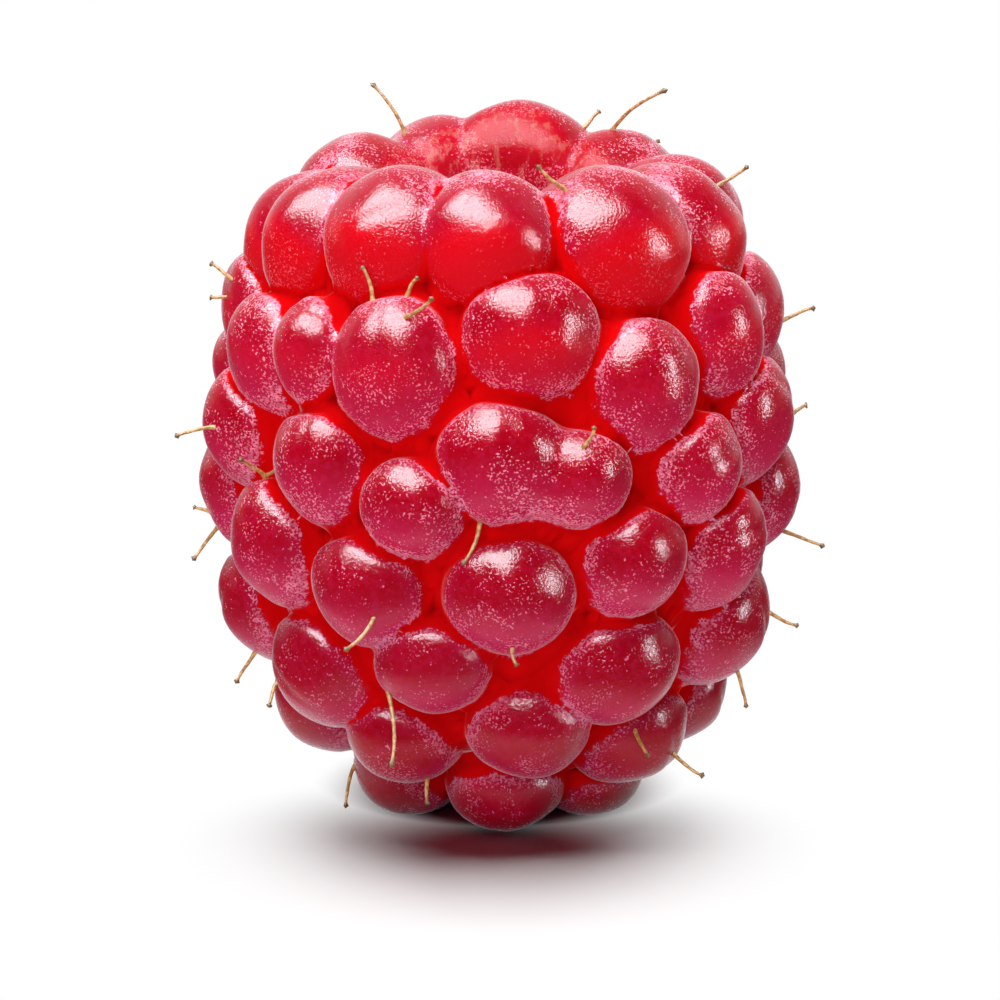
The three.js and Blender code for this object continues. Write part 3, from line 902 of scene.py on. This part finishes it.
    # pebbles on the caps, ridges along the strands
    pebbles = maths(tree, "MULTIPLY", fine["Height"], 0.9)
    pebbles = maths(tree, "ADD", pebbles, maths(tree, "MULTIPLY", small, 0.2))
    pebbles = maths(tree, "ADD", pebbles, maths(tree, "MULTIPLY", fine["Spots"], 1.0))
    pebbles = maths(tree, "MULTIPLY", pebbles, onCap)
    ridges = maths(tree, "MULTIPLY", maths(tree, "MULTIPLY", strands, hollow), 6.0)
    pebbles = maths(tree, "ADD", pebbles, ridges)
    bump = addNode(tree, "Bump", {"Strength": 0.5, "Distance": 0.014 * mm, "Height": pebbles})
    tree.links.new(bump.outputs["Normal"], shader.inputs["Normal"])
    tree.links.new(bump.outputs["Normal"], shader.inputs["Coat Normal"])
    shader.inputs["Subsurface Weight"].default_value = 0.6
    shader.inputs["Subsurface Radius"].default_value = flesh["scatter"]
    shader.inputs["Subsurface Scale"].default_value = flesh["scatterReach"]
    shader.inputs["Specular IOR Level"].default_value = 0.0
    shader.inputs["Coat Roughness"].default_value = flesh["coatRoughness"]
    shader.inputs["Coat IOR"].default_value = 1.45
    shader.inputs["Sheen Weight"].default_value = flesh["sheen"]
    shader.inputs["Sheen Roughness"].default_value = flesh["sheenRoughness"]
    shader.inputs["Sheen Tint"].default_value = flesh["sheenTint"]
    return material


styleColours = {
    "base": (0.36, 0.16, 0.032, 1),
    "pale": (0.64, 0.37, 0.13, 1),
    "knob": (0.17, 0.085, 0.022, 1),
}


def styleMaterial():
    material, tree, shader = newMaterial("dry style")
    place = millimetres(tree)
    patches = addGroup(tree, mottle, {"Place": place, "Size": 0.2, "Detail": 2.0})["Unevenness"]
    fine = addGroup(tree, grains, {"Place": place, "Size": 0.05, "Share": 0.4})
    colour = blend(tree, ramp(tree, patches, -0.8, 0.8), styleColours["base"], styleColours["pale"])
    colour = blend(tree, ramp(tree, attribute(tree, "along"), 0.84, 0.95), colour, styleColours["knob"])
    tree.links.new(colour, shader.inputs["Base Color"])
    tree.links.new(ramp(tree, patches, -1.0, 1.0, 0.45, 0.65), shader.inputs["Roughness"])
    bump = addNode(tree, "Bump", {"Strength": 0.6, "Distance": 0.01 * mm, "Height": fine["Height"]})
    tree.links.new(bump.outputs["Normal"], shader.inputs["Normal"])
    shader.inputs["Subsurface Weight"].default_value = 0.15
    shader.inputs["Subsurface Radius"].default_value = (1.0, 0.5, 0.2)
    shader.inputs["Subsurface Scale"].default_value = 0.1 * mm
    return material


def give(piece, material):
    piece.data.materials.clear()
    piece.data.materials.append(material)


give(raspberrySkin, fleshMaterial())
dryStyle = styleMaterial()
for piece in dryStyles:
    give(piece, dryStyle)
print("materials made")

# Floor, backdrop and lights

studio = {
    "floorRadius": 1.2,
    "floor": (0.72, 0.72, 0.72, 1),
    "shadowAhead": 6.5 * mm,  # how far in front of the fruit its shadow is darkest
    "shadowDepth": (1.3, 0.7),  # how deep it is there against its width, in front and behind
    "shadowFades": (2 * mm, 13 * mm),  # from there, seen by the camera
    "contactFades": (3.6 * mm, 7.4 * mm),  # from the fruit's middle, all round
    "mirroredTo": (8 * mm, 24 * mm),
    # where each lamp is, how large and how strong, and whether it lights the fruit or the floor
    # or only shines in the gloss
    "lamps": {
        "overhead": {"at": (-0.02, -0.03, 0.45), "size": (0.34, 0.34), "power": 2.7, "for": "fruit"},
        "floor light": {"at": (0.0, -0.002, 0.45), "size": (0.36, 0.36), "power": 4.0, "for": "floor"},
        "front fill": {"at": (-0.15, -0.50, 0.26), "size": (0.50, 0.40), "power": 2.9, "for": "fruit"},
        "back fill": {"at": (0.10, 0.50, 0.26), "size": (0.50, 0.40), "power": 2.0, "for": "fruit"},
        "top card": {"at": (-0.13, -0.13, 0.41), "size": (0.52, 0.34), "power": 14.5, "for": "gloss"},
        "side card": {"at": (0.42, -0.12, 0.07), "size": (0.10, 0.22), "power": 2.0, "for": "gloss"},
    },
    "cardColour": (0.82, 0.94, 1.0),
    "ambient": 0.08,  # how much of the room lights the object
    "roomFrom": (0.02, 1.0),  # how bright the room is, from behind the camera to the backdrop
}


def addFloor():
    turns = [2 * math.pi * k / 64 for k in range(64)]
    rim = [(studio["floorRadius"] * math.cos(t), studio["floorRadius"] * math.sin(t), 0) for t in turns]
    mesh = bpy.data.meshes.new("floor")
    mesh.from_pydata(rim, [], [range(64)])
    floor = bpy.data.objects.new("floor", mesh)
    bpy.context.scene.collection.objects.link(floor)
    material, tree, shader = newMaterial("white floor")
    shader.inputs["Base Color"].default_value = studio["floor"]
    shader.inputs["Roughness"].default_value = 0.9
    shader.inputs["Specular IOR Level"].default_value = 0.1
    path = addNode(tree, "LightPath").outputs
    seen = maths(tree, "MAXIMUM", path["Is Camera Ray"], path["Is Glossy Ray"])
    seen = maths(tree, "MAXIMUM", seen, path["Is Transmission Ray"])
    place = addNode(tree, "TexCoord").outputs["Object"]
    away = addNode(tree, "VectorMath", {0: place}, operation="LENGTH").outputs["Value"]
    x, y, _ = addNode(tree, "SeparateXYZ", {0: place}).outputs
    back = maths(tree, "ADD", y, studio["shadowAhead"])
    ahead = maths(tree, "DIVIDE", back, -studio["shadowDepth"][0])
    deep = maths(tree, "MAXIMUM", ahead, maths(tree, "DIVIDE", back, studio["shadowDepth"][1]))
    off = addNode(tree, "CombineXYZ", {0: x, 1: deep}).outputs[0]
    fromDarkest = addNode(tree, "VectorMath", {0: off}, operation="LENGTH").outputs["Value"]
    # the camera sees plain white beyond the shadow
    beyond = ramp(tree, fromDarkest, *studio["shadowFades"])
    beyond = maths(tree, "MINIMUM", beyond, ramp(tree, away, *studio["contactFades"]))
    # mirrored in the fruit, only the floor close to it is bright: the room around is dark
    lit = maths(tree, "MAXIMUM", ramp(tree, away, *studio["mirroredTo"], 1.0, 0.04), path["Is Camera Ray"])
    white = addNode(tree, "Emission", {"Color": (1, 1, 1, 1), "Strength": lit}).outputs[0]
    share = maths(tree, "MULTIPLY", seen, beyond)
    mix = addNode(tree, "MixShader", {0: share, 1: shader.outputs[0], 2: white})
    tree.links.new(mix.outputs[0], tree.nodes["Material Output"].inputs[0])
    give(floor, material)
    return floor


def addLamp(name, setup, only):
    data = bpy.data.lights.new(name, "AREA")
    data.shape = "RECTANGLE"
    data.size, data.size_y = setup["size"]
    data.energy = setup["power"]
    if setup["for"] == "gloss":
        data.color = studio["cardColour"]
    lamp = bpy.data.objects.new(name, data)
    lamp.location = setup["at"]
    aim = Vector((0, 0, 12 * mm)) - lamp.location
    lamp.rotation_euler = aim.to_track_quat("-Z", "Y").to_euler()
    bpy.context.scene.collection.objects.link(lamp)
    lamp.visible_camera = False
    lamp.visible_glossy = setup["for"] == "gloss"
    lamp.visible_diffuse = setup["for"] != "gloss"
    lamp.light_linking.receiver_collection = only["floor" if setup["for"] == "floor" else "fruit"]


def addWorld():
    world = bpy.data.worlds.new("studio")
    world.use_nodes = True
    tree = world.node_tree
    background = tree.nodes["Background"]
    path = addNode(tree, "LightPath").outputs
    # the room behind the camera is dark, the backdrop opposite is white
    direction = addNode(tree, "TexCoord").outputs["Generated"]
    y = addNode(tree, "SeparateXYZ", {0: direction}).outputs[1]
    room = ramp(tree, y, 0.0, 0.8, *studio["roomFrom"])
    # mirrored, the room has its full brightness; as light on the object it has only a little
    mirrored = maths(tree, "MULTIPLY", path["Is Glossy Ray"], 1 - studio["ambient"])
    room = maths(tree, "MULTIPLY", room, maths(tree, "ADD", mirrored, studio["ambient"]))
    level = maths(tree, "MAXIMUM", room, path["Is Camera Ray"])
    tree.links.new(level, background.inputs["Strength"])
    background.inputs["Color"].default_value = (1, 1, 1, 1)
    bpy.context.scene.world = world


only = {name: bpy.data.collections.new(name + " only") for name in ("fruit", "floor")}
only["floor"].objects.link(addFloor())
for piece in [raspberrySkin] + dryStyles:
    only["fruit"].objects.link(piece)
for name, setup in studio["lamps"].items():
    addLamp(name, setup, only)
addWorld()
bpy.context.scene.view_settings.view_transform = "Standard"
print("studio set")
